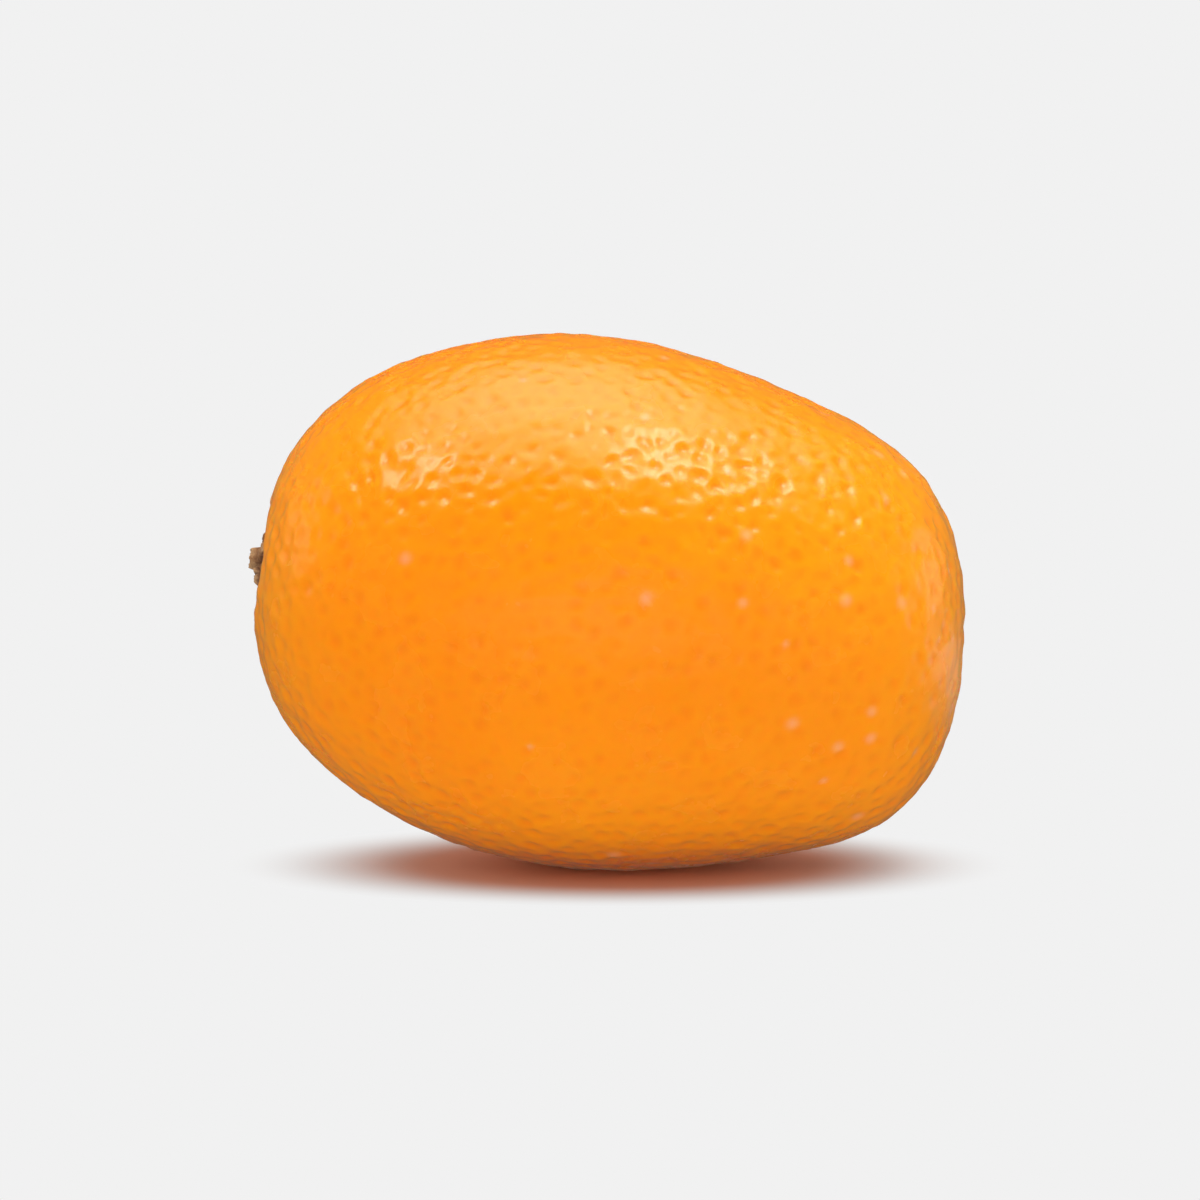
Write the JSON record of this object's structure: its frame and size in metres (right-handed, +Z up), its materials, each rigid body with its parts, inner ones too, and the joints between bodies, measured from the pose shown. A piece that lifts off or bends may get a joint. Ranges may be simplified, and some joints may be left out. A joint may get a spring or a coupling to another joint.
{
  "type": "kumquat",
  "caption": "Whole ripe oval kumquat lying on its side, with pitted orange peel and a small corky calyx at the stem end.",
  "frame": {"origin": "middle of the small flat spot that the fruit rests on, at the level of the surface under it", "axes": "+Z up, +X level and towards the blossom end, whose side of the fruit hangs 7.8 degrees below the stem end, +Y across the fruit"},
  "size_m": [0.038, 0.0282, 0.0278],
  "materials": {
    "peel": "waxy gloss over fine oil-gland pits",
    "calyx": "dry, corky and matte"
  },
  "bodies": {
    "root": {"fruit": "peel", "calyx": "calyx"}
  },
  "joints": []
}
